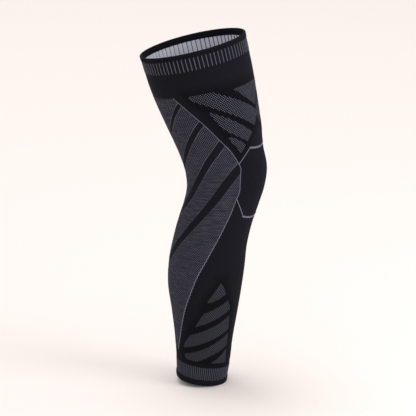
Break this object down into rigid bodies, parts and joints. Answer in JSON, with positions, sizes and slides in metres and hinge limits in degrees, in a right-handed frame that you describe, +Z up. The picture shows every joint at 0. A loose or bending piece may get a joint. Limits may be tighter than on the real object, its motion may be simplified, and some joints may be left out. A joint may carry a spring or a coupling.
{
  "type": "leg compression sleeve",
  "caption": "Seamless knitted compression sleeve for one leg, thigh to lower calf, with ribbed end bands, a framed knee panel and grey mesh zones.",
  "frame": {"origin": "centre of the leg at the middle of the knee panel's height, where the sleeve sits on the knee", "axes": "+Z up the leg towards the thigh, -Y to the front of the knee, -X to the outer side of the leg"},
  "size_m": [0.1584, 0.1925, 0.5442],
  "materials": {
    "black_knit": "matt black nylon and elastane jersey",
    "black_elastic": "dense black elastic welt with a faint sheen",
    "grey_mesh_knit": "bird's-eye knit of grey stitches on black",
    "grey_line_yarn": "raised light grey yarn line",
    "grey_rib_knit": "ribbed knit, fine grey ribs on black, light grey inside the thigh band"
  },
  "bodies": {
    "root": {"top_rim": "black_elastic", "top_rib_band": "grey_rib_knit", "thigh_band": "black_knit", "thigh_front_panel": "black_knit", "knee_panel": "black_knit", "shin_panel": "black_knit", "back_panel": "grey_mesh_knit", "contour_line_outer": "grey_line_yarn", "contour_line_inner": "grey_line_yarn", "knee_line_upper": "grey_line_yarn", "knee_line_lower": "grey_line_yarn", "ankle_band": "black_knit", "ankle_cuff": "grey_rib_knit", "ankle_hem": "black_elastic"}
  },
  "joints": []
}
